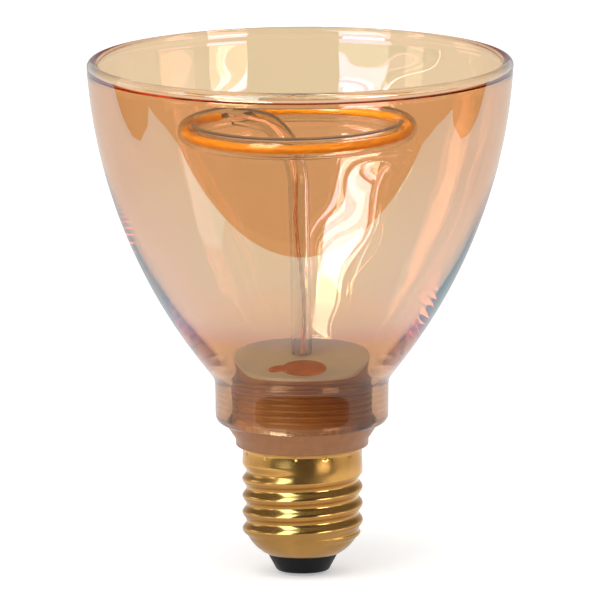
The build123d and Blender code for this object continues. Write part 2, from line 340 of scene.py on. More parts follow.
class Paint(Graph):
    """Nodes of one material, round a principled shader."""

    def __init__(self, name: str) -> None:
        """Make the material and its shader.

        Args:
            name: the material's name.
        """
        super().__init__(bpy.data.materials.new(name))
        self.shader = self.node("ShaderNodeBsdfPrincipled")
        self.look = self.shader.outputs["BSDF"]
        self.output = self.node("ShaderNodeOutputMaterial", Surface=self.look)

    def set(self, **values: Value) -> None:
        """Fill the shader's inputs by name, with underscores for spaces."""
        self.fill(self.shader, **values)

    def spot(self) -> Socket:
        """Place on the piece, in the piece's own coordinates."""
        return self.node("ShaderNodeTexCoord").outputs["Object"]

    def marked(self, mark: str) -> Socket:
        """Read the faces' own value.

        Args:
            mark: the value's name.

        Returns:
            The value.
        """
        faces = self.node("ShaderNodeAttribute")
        faces.attribute_name = mark
        return faces.outputs["Fac"]

    def noise(self, size: float, detail: float) -> Socket:
        """Cloudy values over the piece, from the width of a cloud and its number of finer layers."""
        cloud = self.node("ShaderNodeTexNoise", Vector=self.spot(), Scale=1 / size, Detail=detail)
        return cloud.outputs["Fac"]

    def climb(self, span: Span, mark: str) -> Socket:
        """Go gently from 0 to the faces' own value, between two heights."""
        split = self.node("ShaderNodeSeparateXYZ", Vector=self.spot())
        return self.ramp(split.outputs["Z"], span, 0.0, self.marked(mark), level=True)

    def blend(self, share: Socket, first: Value, second: Value) -> Socket:
        """Mix two colours by a value.

        Args:
            share: the second colour's share.
            first: colour where the share is 0.
            second: colour where the share is 1.

        Returns:
            The mixed colour.
        """
        mix = self.node("ShaderNodeMix", Factor=share)
        mix.data_type = "RGBA"
        self.put(mix.inputs[FIRST_COLOUR], first)
        self.put(mix.inputs[SECOND_COLOUR], second)
        return mix.outputs[MIXED_COLOUR]

    def relief(self, value: Socket, depth: float) -> None:
        """Raise the surface by a value in the shader only, up to a depth in metres."""
        bump = self.node("ShaderNodeBump", Height=value, Distance=depth, Strength=1.0)
        self.set(Normal=bump.outputs["Normal"])

    def show(self, share: Socket, first: Socket, second: Socket) -> None:
        """Show one shader where a value is 0, and another where it is 1.

        Args:
            share: the value.
            first: shader where it is 0.
            second: shader where it is 1.
        """
        mix = self.node("ShaderNodeMixShader", Fac=share)
        self.put(mix.inputs[FIRST_SHADER], first)
        self.put(mix.inputs[SECOND_SHADER], second)
        self.fill(self.output, Surface=mix.outputs["Shader"])


@dataclass(frozen=True)
class Solid:
    """Opaque finish whose colour, gloss and relief drift a little over the surface."""

    slot: str
    base: Colour
    drift: Colour
    cloud: float
    gloss: Span
    grain: float = 0.4 * MM
    depth: float = 0.01 * MM
    metallic: float = 0.0
    shine: float = 0.5
    # colours laid over marked faces: the housing's are a painted sheen and painted shade
    painted_light_marks: tuple[tuple[str, Colour], ...] = ()
    # painted glow: emission in the finish's own colour, given only to the filament's silicone
    glow: float = 0.0

    def material(self) -> bpy.types.Material:
        """Build the finish's material.

        Returns:
            The material, with two cloudy colours, a cloudy roughness and a fine relief.
        """
        paint = Paint(self.slot)
        cloud = paint.noise(self.cloud, CLOUD_DETAIL)
        tone = paint.blend(paint.ramp(cloud, CLOUD, 0.0, 1.0), self.base, self.drift)
        # painted light: marked faces take a painted sheen or painted shade
        for mark, shade in self.painted_light_marks:
            tone = paint.blend(paint.marked(mark), tone, shade)
        paint.set(Base_Color=tone, Roughness=paint.ramp(cloud, CLOUD, *self.gloss))
        # the glow is painted light, not a lamp
        paint.set(Emission_Color=tone, Emission_Strength=self.glow)
        paint.set(Metallic=self.metallic, Specular_IOR_Level=self.shine)
        paint.relief(paint.noise(self.grain, GRAIN_DETAIL), self.depth)
        return paint.owner


@dataclass(frozen=True)
class Glass:
    """Clear glass whose tint drifts a little, with a very shallow ripple."""

    slot: str
    name: str
    tint: Colour
    drift: Colour
    cloud: float = 20 * MM
    depth: float = 0.004 * MM
    ripple: float = 9 * MM
    bend: float = 1.5

    def tone(self, paint: Paint) -> Socket:
        """Mix the two tints in slow clouds."""
        share = paint.ramp(paint.noise(self.cloud, GLASS_DETAIL), CLOUD, 0.0, 1.0)
        return paint.blend(share, self.tint, self.drift)

    def paint(self) -> Paint:
        """Build the glass's nodes.

        Returns:
            The nodes: full transmission, the tints and the ripple.
        """
        paint = Paint(self.name)
        paint.set(Base_Color=self.tone(paint), Roughness=0.0, IOR=self.bend, Transmission_Weight=1.0)
        paint.relief(paint.noise(self.ripple, GLASS_DETAIL), self.depth)
        return paint

    def material(self) -> bpy.types.Material:
        """Build the glass's material."""
        return self.paint().owner


@dataclass(frozen=True)
class LustreGlass(Glass):
    """Glass tinted in its body, with a lustre on marked faces that runs out towards the foot."""

    mark: str = LUSTRE
    foot: Colour = WHITE
    lustre: Colour = WHITE
    lustre_span: Span = UNIT
    film: float = 192.0
    film_bend: float = 2.0
    film_span: Span = UNIT
    body: Colour = WHITE
    density: float = 25.0

    def tone(self, paint: Paint) -> Socket:
        """Put the lustre's tint, which goes from the foot's to the bowl's, over the glass's own."""
        lustre = paint.blend(paint.climb(self.lustre_span, self.mark), self.foot, self.lustre)
        return paint.blend(paint.marked(self.mark), super().tone(paint), lustre)

    def paint(self) -> Paint:
        """Add the lustre's thin film and the body's absorption to the glass.

        Returns:
            The nodes; where the film runs out, it bends light as the glass does.
        """
        paint = super().paint()
        bend = paint.ramp(paint.climb(self.film_span, self.mark), UNIT, self.bend, self.film_bend)
        paint.set(Thin_Film_Thickness=self.film, Thin_Film_IOR=bend)
        inside = paint.node("ShaderNodeVolumeAbsorption", Color=self.body, Density=self.density)
        paint.fill(paint.output, Volume=inside.outputs["Volume"])
        return paint


Finish = Solid | Glass


def add(name: str, data: bpy.types.ID) -> bpy.types.Object:
    """Put a mesh, a lamp or a camera into the scene as an object at the origin.

    Args:
        name: the object's name.
        data: what the object shows.

    Returns:
        The object.
    """
    made = bpy.data.objects.new(name, data)
    bpy.context.scene.collection.objects.link(made)
    return made


def smooth(mesh: bpy.types.Mesh, edge: Edge) -> None:
    """Shade a mesh smooth, apart from creases.

    Args:
        mesh: the mesh.
        edge: how its faces are shaded where they meet.
    """
    mesh.shade_smooth()
    if edge is not Edge.SMOOTH:
        mesh.set_sharp_from_angle(angle=edge.value)


def join_shapes(body: bpy.types.Object, steps: list[tuple[bpy.types.Object, Join]]) -> None:
    """Join closed shapes that overlap into one.

    Args:
        body: the shape that the others are joined to.
        steps: the other shapes in order, each with what is done with it; they are used up.
    """
    for other, join in steps:
        modifier = body.modifiers.new("join", "BOOLEAN")
        modifier.object = other
        modifier.operation = join.value
        modifier.solver = "EXACT"
    bpy.context.view_layer.update()
    result = bpy.data.meshes.new_from_object(body.evaluated_get(bpy.context.evaluated_depsgraph_get()))
    body.modifiers.clear()
    body.data = result
    for other, _ in steps:
        bpy.data.objects.remove(other)


def dress(piece: bpy.types.Object, finish: Finish) -> None:
    """Give a piece its material in place of those it came with."""
    piece.data.materials.clear()
    piece.data.materials.append(finish.material())


def dress_solid(node: str, finish: Solid) -> None:
    """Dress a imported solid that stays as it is."""
    dress(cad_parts[node], finish)
    log.info("%s: packed solid, %s", node, finish.slot)


def seat(piece: bpy.types.Object, node: str, finish: Finish) -> None:
    """Dress a new piece, and let it stand for a solid and ride on the lamp.

    Args:
        piece: the new object.
        node: the solid's node.
        finish: the piece's finish.
    """
    dress(piece, finish)
    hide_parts(node)
    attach(piece, BODY)
    log.info("%s: %d faces", piece.name, len(piece.data.polygons))


def build_piece(name: str, surface: Surface, edge: Edge, node: str, finish: Finish) -> bpy.types.Object:
    """Make a finished piece out of a surface.

    Args:
        name: the piece's name.
        surface: its shape, in place.
        edge: how its faces are shaded where they meet.
        node: node of the solid that it stands for.
        finish: the piece's finish.

    Returns:
        The piece.
    """
    mesh = surface.mesh(name)
    smooth(mesh, edge)
    piece = add(name, mesh)
    seat(piece, node, finish)
    return piece


def mark_faces(piece: bpy.types.Object, name: str, chosen: np.ndarray) -> None:
    """Give the faces of a piece their own value: 1 on the chosen ones, 0 on the rest."""
    mark = piece.data.attributes.new(name, "FLOAT", "FACE")
    mark.data.foreach_set("value", chosen.astype(np.float32))


@dataclass(frozen=True)
class Wave:
    """One wave of an uneven surface, as its share, its turns round and up, and its start."""

    share: float
    around: int
    upward: float
    shift: float

    def value(self, angle: np.ndarray, climb: np.ndarray | float) -> np.ndarray:
        """Height of the wave: its share times the sine of its turns round and up."""
        return self.share * np.sin(self.around * angle + self.upward * climb + self.shift)


@dataclass
class GlassCup:
    """Blown amber cup: straight neck, thick shoulder, thin bowl and a rounded rim."""

    low: float
    neck_radius: float = 18.76 * MM
    bore_radius: float = 16.3 * MM
    neck_top: float = 42.9 * MM
    throat: float = 45.6 * MM
    rim: Point = (46.1 * MM, 111.25 * MM)
    outer_middle: Point = (38.8 * MM, 77.075 * MM)
    wall_middle: float = 1.2 * MM
    wall_rim: float = 1.3 * MM
    bead: float = 1.25 * MM
    foot_edge: float = 2.0 * MM
    shoulder_blend: float = 0.7 * MM
    throat_blend: float = 1.5 * MM
    bead_blend: float = 0.3 * MM
    ripple_depth: float = 0.1 * MM
    ripple_calm: float = 0.03
    ripple_side: float = math.radians(65)
    ripple_width: float = math.radians(45)
    ripple_fade: float = 0.2
    ring_depth: float = 0.03 * MM
    ring_pitch: float = 1.35 * MM
    ring_swing: float = 0.5
    ring_swings: int = 2
    steps: int = 280
    rows: int = 150
    foot_rows: int = 14
    bead_rows: int = 24
    under_rows: int = 16
    waves: tuple[Wave, ...] = (
        Wave(1.0, 3, 9, 0),
        Wave(0.6, 7, -17, 1),
        Wave(0.25, 13, 31, 2),
    )
    glass: LustreGlass = LustreGlass(
        "amber_glass", "amber_lustre", (1.0, 0.98, 0.95), (0.98, 0.95, 0.91),
        foot=(0.56, 0.33, 0.19), lustre=(0.84, 0.445, 0.18), lustre_span=(42.5 * MM, 53 * MM),
        film_span=(50 * MM, 60 * MM), body=(0.9, 0.4, 0.1),
    )

    def outer_arch(self) -> Arch:
        """Outer side of the bowl."""
        return Arch((self.neck_radius, self.neck_top), self.outer_middle, self.rim)

    def inner_arch(self) -> Arch:
        """Inner side of the bowl, from the throat to the rim."""
        middle = (self.outer_middle[0] - self.wall_middle, self.outer_middle[1])
        return Arch((self.bore_radius, self.throat), middle, (self.rim[0] - self.wall_rim, self.rim[1]))

    def bead_centre(self) -> Point:
        """Find the middle of the rim's bead, one bead radius in from the rim and square to the wall.

        Returns:
            Its radius and height.
        """
        across, level, reach = self.outer_arch().circle()
        share = self.bead / reach
        return self.rim[0] + (across - self.rim[0]) * share, self.rim[1] + (level - self.rim[1]) * share

    def outer_wall(self) -> np.ndarray:
        """Outside from the neck's rounded foot to the rim, neck and bowl joined by a soft corner.

        Returns:
            Radius and height of each point, upwards.
        """
        centre = (self.neck_radius - self.foot_edge, self.low + self.foot_edge)
        foot = arc(centre, self.foot_edge, -QUARTER, 0, self.foot_rows)
        height = np.linspace(centre[1], self.rim[1], self.rows)[1:]
        radius = soft_max(self.neck_radius, self.outer_arch().radius(height), self.shoulder_blend)
        return np.concatenate([foot, np.stack([radius, height], axis=-1)])

    def rim_bead(self) -> np.ndarray:
        """Round bead over the rim, an arc from the wall's end to the level of its middle inside.

        Returns:
            Radius and height of each point, inwards.
        """
        centre = self.bead_centre()
        start = math.atan2(self.rim[1] - centre[1], self.rim[0] - centre[0])
        return arc(centre, self.bead, start, HALF, self.bead_rows)[1:]

    def inner_wall(self) -> np.ndarray:
        """Inside from the bead to the foot: bead and bowl, then bowl and neck, by soft corners.

        Returns:
            Radius and height of each point, downwards.
        """
        centre = self.bead_centre()
        under = centre[1] - self.bead * np.sin(np.linspace(0, QUARTER, self.under_rows))[1:]
        below = np.linspace(under[-1], self.low, self.rows)[1:]
        height = np.concatenate([under, below])
        drop = np.clip((centre[1] - height) / self.bead, 0, 1)
        bead = centre[0] - self.bead * np.sqrt(1 - drop**2)
        bead = np.where(height < under[-1], centre[0] + self.bead, bead)
        wall = soft_max(self.bore_radius, self.inner_arch().radius(height), self.throat_blend)
        return np.stack([soft_min(wall, bead, self.bead_blend), height], axis=-1)

    def ripple(self, angle: np.ndarray, height: np.ndarray) -> np.ndarray:
        """Unevenness of the blown wall: slow waves, strongest on one side and still at both ends.

        Args:
            angle: angle round the axis at each point.
            height: height at each point.

        Returns:
            How far the wall moves out at each point.
        """
        climb = (height - self.throat) / (self.rim[1] - self.throat)
        fade = smoothstep(climb / self.ripple_fade) * smoothstep((1 - climb) / self.ripple_fade)
        off = wrapped(angle - self.ripple_side)
        strength = np.maximum(np.exp(-((off / self.ripple_width) ** 2)), self.ripple_calm)
        return self.ripple_depth * fade * strength * sum(wave.value(angle, climb) for wave in self.waves)

    def neck_rings(self, angle: np.ndarray, height: np.ndarray) -> np.ndarray:
        """Fine rings inside the neck: a sine up its height, swung a little round it.

        Args:
            angle: angle round the axis at each point.
            height: height at each point.

        Returns:
            How far the bore moves out at each point.
        """
        neck = 1 - smoothstep((height - self.neck_top) / (self.throat - self.neck_top))
        swing = self.ring_swing * np.sin(self.ring_swings * angle)
        return self.ring_depth * neck * np.sin(TURN * height / self.ring_pitch + swing)

    def build(self) -> None:
        """Turn the closed wall with its unevenness, and mark the outside for the lustre."""
        wall = self.outer_wall()
        outside = np.concatenate([wall, self.rim_bead()])
        outline = np.concatenate([outside, self.inner_wall()])
        radius, height = np.hsplit(outline, 2)
        row = np.arange(len(outline))
        angles = turn_angles(self.steps)
        inside = (row >= len(outside))[:, None]
        move = self.ripple(angles, height) + self.neck_rings(angles, height) * inside
        surface = lathe(radius + move, height, angles, closed=True)
        piece = build_piece("amber_cup", surface, Edge.CREASED, "glass_cup", self.glass)
        mark_faces(piece, self.glass.mark, np.repeat(row < len(wall), self.steps))


@dataclass
class FilamentTube:
    """Bent clear tube with stem, bend, arm, flared mouth and ring, and the filament inside the ring."""

    disc_top: float
    foot_back: float = 1.5 * MM
    stem_radius: float = 2.3 * MM
    ring_tube_radius: float = 2.5 * MM
    wall: float = 0.65 * MM
    ring_radius: float = 23.4 * MM
    ring_height: float = 51.7 * MM
    bend_radius: float = 13.5 * MM
    arm_angle: float = math.radians(124)
    lean: float = math.radians(-0.7)
    nod: float = math.radians(1.9)
    socket_depth: float = 1.4 * MM
    bore_depth: float = 2.8 * MM
    flare_length: float = 7.5 * MM
    flare_reach: float = 1.0 * MM
    flare_width: float = 1.9 * MM
    filament_radius: float = 0.95 * MM
    filament_room: float = 0.1 * MM
    filament_gap: float = math.radians(20)
    sides: int = 48
    ring_steps: int = 240
    run_steps: int = 40
    end_steps: int = 10
    glass: Glass = Glass("clear_glass", "clear_tube", colour(250, 250, 248), colour(248, 249, 248), bend=1.38)
    # the silicone's glow is a painted glow
    silicone: Solid = Solid(
        "filament_silicone", (0.8, 0.28, 0.0), (0.74, 0.245, 0.0), 3 * MM, (0.35, 0.5), 0.5 * MM, 0.02 * MM,
        glow=0.32,
    )

    def place_matrix(self) -> Matrix:
        """Turn the arm to its side, lean the stem and set it on its foot."""
        foot = Matrix.Translation((0, self.foot_back, self.disc_top))
        return foot @ turned(self.nod, "X") @ (turned(self.lean, "Y") @ turned(self.arm_angle, "Z"))

    def centre_line(self, drop: float) -> tuple[np.ndarray, np.ndarray]:
        """Stem, quarter bend and arm in the plane of the arm.

        Args:
            drop: how far the stem starts below the disc.

        Returns:
            Points and directions along the line.
        """
        turn = np.linspace(0, QUARTER, self.run_steps)
        corner = self.ring_height - self.bend_radius
        rise = np.linspace(-drop, corner, self.run_steps)[:-1]
        reach = np.linspace(self.bend_radius, self.ring_radius - self.flare_reach, self.run_steps)[1:]
        along = np.concatenate([0 * rise, self.bend_radius * (1 - np.cos(turn)), reach])
        up = np.concatenate([rise, corner + self.bend_radius * np.sin(turn), 0 * reach + self.ring_height])
        heading = np.concatenate([0 * rise, turn, 0 * reach + QUARTER])
        points = np.stack([along, 0 * along, up], axis=-1)
        return points, np.stack([np.sin(heading), 0 * along, np.cos(heading)], axis=-1)

    def bar(self, radius: float, drop: float) -> Surface:
        """Carry an oval along the centre line: round, then wider sideways towards the ring.

        Args:
            radius: the oval's radius where it is round.
            drop: how far the stem starts below the disc.

        Returns:
            The bar, closed at both ends.
        """
        points, heading = self.centre_line(drop)
        across = np.array([0.0, 1.0, 0.0])
        outward = np.cross(across, heading)
        start = self.ring_radius - self.flare_length
        share = (points[:, 0] - start) / (self.flare_length - self.flare_reach)
        width = radius + self.flare_width * smoothstep(share) * np.clip(share, 0, 1)
        angle = turn_angles(self.sides)
        side = width[:, None, None] * np.cos(angle)[None, :, None] * across
        lift = radius * np.sin(angle)[None, :, None] * outward[:, None, :]
        grid = points[:, None, :] + side + lift
        first = np.broadcast_to(points[:1, None, :], (1, self.sides, 3))
        last = np.broadcast_to(points[-1:, None, :], (1, self.sides, 3))
        return Surface.from_grid(np.concatenate([first, grid, last]), False)

    def ring(self, radius: float) -> Surface:
        """Carry a circle of the given radius round the ring's circle."""
        section = arc((self.ring_radius, self.ring_height), radius, 0, TURN, self.sides + 1)[:-1]
        return lathe(*np.hsplit(section, 2), turn_angles(self.ring_steps), closed=True)

    def shape(self, name: str, surface: Surface) -> bpy.types.Object:
        """Put a surface into its place as a bare shape."""
        return add(name, surface.moved(self.place_matrix()).mesh(name))

    def build_glass(self) -> None:
        """Join ring and bar inside and out, and cut the bore out of the outside."""
        bore = self.shape("tube_bore", self.ring(self.ring_tube_radius - self.wall))
        bore_bar = self.shape("tube_bore_part", self.bar(self.stem_radius - self.wall, self.bore_depth))
        join_shapes(bore, [(bore_bar, Join.ADD)])
        piece = self.shape("clear_tube", self.ring(self.ring_tube_radius))
        bar = self.shape("clear_tube_part", self.bar(self.stem_radius, self.socket_depth))
        join_shapes(piece, [(bar, Join.ADD), (bore, Join.CUT)])
        piece.data.name = piece.name
        smooth(piece.data, Edge.CREASED)
        seat(piece, "filament_tube", self.glass)

    def build_filament(self) -> None:
        """Carry a circle round most of the ring's outer wall, drawn in to round ends."""
        bore = self.ring_tube_radius - self.wall
        reach = self.ring_radius + bore - self.filament_radius - self.filament_room
        cap = self.filament_radius / reach
        span = TURN - self.filament_gap
        end = cap * (1 - np.cos(np.linspace(0, QUARTER, self.end_steps)))
        run = np.linspace(cap, span - cap, self.ring_steps)[1:-1]
        along = np.concatenate([end, run, span - end[::-1]])[:, None]
        edge = np.minimum(np.minimum(along, span - along) / cap, 1)
        radius = self.filament_radius * np.sqrt(1 - (1 - edge) ** 2)
        angle = turn_angles(self.sides)
        distance = reach + radius * np.cos(angle)
        lift = self.ring_height + radius * np.sin(angle)
        surface = lathe(distance, lift, self.filament_gap / 2 + along, closed=False)
        surface = surface.moved(self.place_matrix())
        build_piece("flexible_filament", surface, Edge.SMOOTH, "led_filament", self.silicone)

    def build(self) -> None:
        """Build the glass and the filament."""
        self.build_glass()
        self.build_filament()


@dataclass
class ScrewCap:
    """Gold rolled shell, black insulator and the rivet under it."""

    low: float
    high: float
    crest_radius: float
    root_radius: float = 12.2 * MM
    hole_radius: float = 7.25 * MM
    foot_radius: float = 8.1 * MM
    dome_height: float = 4.5 * MM
    dome_bulge: float = 0.35 * MM
    band_radius: float = 12.9 * MM
    band_height: float = 4.9 * MM
    sheet: float = 0.3 * MM
    pitch: float = 3.629 * MM
    start: float = 9.285 * MM
    start_angle: float = math.radians(124)
    run_in: float = 1.6 * MM
    run_out: Span = (3.18, 3.43)
    crimps: int = 12
    crimp_angle: float = math.radians(262.5)
    crimp_drop: float = 0.75 * MM
    crimp_width: float = 0.32 * MM
    crimp_depth: float = 0.22 * MM
    lip: float = 0.15 * MM
    lip_width: float = 0.3 * MM
    insulator_tip: float = 5.6 * MM
    insulator_top: float = 7.7 * MM
    insulator_hole: float = 1.45 * MM
    insulator_low: float = 0.6 * MM
    insulator_edge: float = 0.9 * MM
    insulator_room: float = 0.05 * MM
    flange: float = 1.45 * MM
    steps: int = 288
    dome_rows: int = 30
    wall_rows: int = 140
    insulator_steps: int = 96
    edge_rows: int = 12
    gold: Solid = Solid(
        "gold_shell", (0.64, 0.345, 0.1), (0.56, 0.29, 0.078), 6 * MM, (0.14, 0.22), 0.25 * MM, 0.004 * MM,
        metallic=0.92,
    )
    black: Solid = Solid(
        "black_insulator", colour(15, 13, 13), colour(10, 9, 9), 2 * MM, (0.35, 0.5), 0.3 * MM, shine=0.2
    )
    rivet: Solid = Solid(
        "contact_metal", (0.72, 0.56, 0.32), (0.6, 0.45, 0.26), 1 * MM, (0.25, 0.4), 0.2 * MM, 0.005 * MM,
        metallic=1.0,
    )

    def wall(self) -> np.ndarray:
        """Outside of the shell before its thread is rolled: a flat foot, a bulging dome and a straight wall.

        Returns:
            Radius and height of each point, upwards.
        """
        wall_low = self.low + self.dome_height
        middle_radius = (self.foot_radius + self.root_radius) / 2 + self.dome_bulge
        middle = (middle_radius, (self.low + wall_low) / 2 - self.dome_bulge)
        top = (self.root_radius, wall_low)
        across, level, reach = Arch((self.foot_radius, self.low), middle, top).circle()
        first = math.atan2(self.low - level, self.foot_radius - across)
        last = math.atan2(wall_low - level, self.root_radius - across)
        foot = np.array([[self.hole_radius, self.low]])
        dome = arc((across, level), reach, first, last, self.dome_rows)
        rise = np.linspace(wall_low, self.high, self.wall_rows)[1:]
        straight = np.stack([np.full_like(rise, self.root_radius), rise], axis=-1)
        return np.concatenate([foot, dome, straight])

    def thread(self, angle: np.ndarray, height: np.ndarray) -> np.ndarray:
        """Rolled thread and band: half of one plus the cosine of the height above the helix.

        The ridge rises from the wall at the bottom, the groove runs out into the plain band, and the top edge
        has a small bell-shaped lip.

        Args:
            angle: angle round the axis at each point.
            height: height at each point.

        Returns:
            How far the sheet stands out at each point.
        """
        around = (angle - self.start_angle) / TURN
        turns = (height - self.start) / self.pitch - around
        wave = (1 + np.cos(TURN * turns)) / 2
        groove_turn = around + np.floor(turns)
        first, last = self.run_out
        groove = 1 - smoothstep((groove_turn - first) / (last - first))
        ridge = smoothstep((height - self.start) / self.run_in + 1)
        top = smoothstep((height - self.high) / self.band_height + 1)
        reach = self.crest_radius + (self.band_radius - self.crest_radius) * top
        lip = self.lip * np.exp(-(((height - self.high) / self.lip_width) ** 2))
        return (reach - self.root_radius) * (1 - (1 - wave) * groove) * ridge + lip

    def dents(self, angle: np.ndarray, height: np.ndarray) -> np.ndarray:
        """Crimp dents: a bell-shaped hollow at even angles, a little below the top edge.

        Args:
            angle: angle round the axis at each point.
            height: height at each point.

        Returns:
            How far the sheet is pressed in at each point.
        """
        share = (angle - self.crimp_angle) * self.crimps / TURN
        sideways = (share - np.round(share)) * TURN / self.crimps * self.band_radius
        upward = height - (self.high - self.crimp_drop)
        return self.crimp_depth * np.exp(-(sideways**2 + upward**2) / self.crimp_width**2)

    def build_shell(self) -> None:
        """Carry the outside and a parallel inside round the axis, with thread and dents on both."""
        outside = self.wall()
        slope = np.gradient(outside, axis=0)
        slope /= np.linalg.norm(slope, axis=1, keepdims=True)
        inward = np.stack([-slope[:, 1], slope[:, 0]], axis=-1)
        inside = outside + self.sheet * inward
        inside[0, 0] = self.hole_radius
        radius, height = np.hsplit(np.concatenate([outside, inside[::-1]]), 2)
        angles = turn_angles(self.steps)
        rolled = radius + self.thread(angles, height) - self.dents(angles, height)
        surface = lathe(rolled, height, angles, closed=True)
        build_piece("gold_shell", surface, Edge.CREASED, "screw_shell", self.gold)

    def build_insulator(self) -> None:
        """Turn the cone with its rounded tip edge, hole and flange."""
        slope = math.atan2(self.low - self.insulator_low, self.insulator_top - self.insulator_tip)
        inset = self.insulator_edge * math.tan(slope / 2)
        centre = (self.insulator_tip - inset, self.insulator_low + self.insulator_edge)
        edge = arc(centre, self.insulator_edge, -QUARTER, slope - QUARTER, self.edge_rows)
        neck_radius = self.hole_radius - self.insulator_room
        flange_radius = self.foot_radius - self.insulator_room
        flange_low = self.low + self.sheet
        flange_high = self.low + self.flange
        rest = np.array([
            [self.insulator_top, self.low],
            [neck_radius, self.low],
            [neck_radius, flange_low],
            [flange_radius, flange_low],
            [flange_radius, flange_high],
            [self.insulator_hole, flange_high],
            [self.insulator_hole, self.insulator_low],
        ])
        outline = np.concatenate([edge, rest])
        surface = lathe(*np.hsplit(outline, 2), turn_angles(self.insulator_steps), closed=True)
        build_piece("black_insulator", surface, Edge.CREASED, "insulator", self.black)

    def build(self) -> None:
        """Build the shell and the insulator, and dress the rivet."""
        self.build_shell()
        self.build_insulator()
        dress_solid("centre_contact", self.rivet)


@dataclass
class Housing:
    """Moulded taupe base: disc, grooved drum, flared skirt and the spigot in the cap, with bond and glue."""

    top: float
    low: float
    ledge: float = 33.0 * MM
    skirt: float = 28.1 * MM
    lip_height: float = 1.6 * MM
    lip_radius: float = 14.4 * MM
    ledge_radius: float = 16.6 * MM
    lip_edge: float = 0.5 * MM
    drum_radius: float = 15.2 * MM
    drum_edge: float = 0.4 * MM
    drum_wall: float = 1.8 * MM
    disc: float = 2.4 * MM
    groove_count: int = 8
    groove_radius: float = 0.4 * MM
    groove_pitch: float = 1.35 * MM
    groove_start: float = 2.7 * MM
    groove_span: Span = (0.1 * MM, 0.8 * MM)
    collar_radius: float = 12.3 * MM
    collar_low: float = 23.85 * MM
    spigot_radius: float = 11.6 * MM
    spigot_wall: float = 1.2 * MM
    seam_angle: float = math.radians(207)
    seam_width: float = 0.2 * MM
    seam_proud: float = 0.25 * MM
    seam_span: Span = (34.8 * MM, 40.8 * MM)
    bore_radius: float = 16.3 * MM
    bond_height: float = 1.8 * MM
    bond_gap: float = 0.05 * MM
    bond_sway: float = 0.25 * MM
    bond_waves: tuple[Wave, ...] = (Wave(1.0, 5, 0, 0), Wave(0.6, 11, 0, 1))
    tail_radius: float = 1.6 * MM
    tail_side: float = -0.8 * MM
    pool_inset: float = 0.1 * MM
    pool_blend: float = 0.4 * MM
    pool_power: int = 4
    steps: int = 256
    drum_rows: int = 160
    edge_rows: int = 8
    bond_rows: int = 10
    pool_steps: int = 120
    pool_rows: int = 16
    # painted light: the crown's paler colour is a painted sheen, and the grooves' darker colour is painted
    # shade
    plastic: Solid = Solid(
        "housing_plastic", colour(142, 92, 52), colour(135, 86, 48), 2 * MM, (0.3, 0.36), 0.35 * MM,
        painted_light_marks=((PAINTED_SHEEN_CROWN, colour(174, 164, 154)), (PAINTED_SHADE_GROOVE, colour(136, 86, 42))),
    )
    bond: Solid = Solid(
        "clear_bond", colour(168, 118, 68), colour(138, 92, 50), 0.9 * MM, (0.05, 0.2), depth=0.15 * MM
    )
    glue: Solid = Solid(
        "sealing_glue", colour(148, 78, 2), colour(137, 70, 2), 3 * MM, (0.6, 0.75), 0.5 * MM, 0.02 * MM,
        shine=0.05,
    )

    def drum_side(self) -> np.ndarray:
        """Side of the drum: its radius less a circle's height wherever a groove's middle is near.

        Returns:
            Radius and height of each point, upwards.
        """
        height = np.linspace(self.ledge, self.top - self.drum_edge, self.drum_rows)
        first = self.ledge + self.groove_start
        count = np.clip(np.round((height - first) / self.groove_pitch), 0, self.groove_count - 1)
        off = height - (first + count * self.groove_pitch)
        cut = np.sqrt(np.maximum(self.groove_radius**2 - off**2, 0))
        return np.stack([self.drum_radius - cut, height], axis=-1)

    def outline(self) -> np.ndarray:
        """Half section from the middle of the disc, down outside, and back up inside.

        Returns:
            Radius and height of each point.
        """
        spigot_bore = self.spigot_radius - self.spigot_wall
        drum_bore = self.drum_radius - self.drum_wall
        brim_centre = (self.drum_radius - self.drum_edge, self.top - self.drum_edge)
        lip_centre = (self.lip_radius - self.lip_edge, self.skirt + self.lip_edge)
        middle = np.array([[0, self.top]])
        brim = arc(brim_centre, self.drum_edge, QUARTER, 0, self.edge_rows)
        flare = np.array([[self.ledge_radius, self.ledge], [self.lip_radius, self.skirt + self.lip_height]])
        lip = arc(lip_centre, self.lip_edge, 0, -QUARTER, self.edge_rows)
        rest = np.array([
            [self.collar_radius, self.skirt],
            [self.collar_radius, self.collar_low],
            [self.spigot_radius, self.collar_low],
            [self.spigot_radius, self.low],
            [spigot_bore, self.low],
            [spigot_bore, self.skirt],
            [drum_bore, self.ledge],
            [drum_bore, self.top - self.disc],
            [0, self.top - self.disc],
        ])
        return np.concatenate([middle, brim, self.drum_side()[::-1], flare, lip, rest])

    def build_moulding(self) -> None:
        """Turn the half section, with the mould's bell-shaped seam on the drum, and mark its faces."""
        radius, height = np.hsplit(self.outline(), 2)
        angles = turn_angles(self.steps)
        low, high = self.seam_span
        on_drum = (height > low) & (height < high) & (radius > self.drum_radius - self.groove_span[1])
        off = wrapped(angles - self.seam_angle) * self.drum_radius
        seam = self.seam_proud * np.exp(-((off / self.seam_width) ** 2)) * on_drum
        surface = lathe(radius + seam, height, angles, closed=False)
        piece = build_piece("base_moulding", surface, Edge.CREASED, "base_housing", self.plastic)
        self.mark_moulding(piece)

    def mark_moulding(self, piece: bpy.types.Object) -> None:
        """Mark the disc's crown, which takes a painted sheen, and the faces that lie deep enough in a groove,
        which take painted shade.

        Args:
            piece: the moulding.
        """
        centres = np.empty((len(piece.data.polygons), 3), np.float32)
        piece.data.polygons.foreach_get("center", centres.ravel())
        depth = self.drum_radius - np.hypot(centres[:, 0], centres[:, 1])
        shallow, deep = self.groove_span
        painted_shade_faces = (depth > shallow) & (depth < deep) & (centres[:, 2] > self.ledge)
        # the disc's top faces take the painted sheen
        crown = centres[:, 2] > self.top - self.drum_edge
        mark_faces(piece, PAINTED_SHEEN_CROWN, crown)
        mark_faces(piece, PAINTED_SHADE_GROOVE, painted_shade_faces & ~crown)

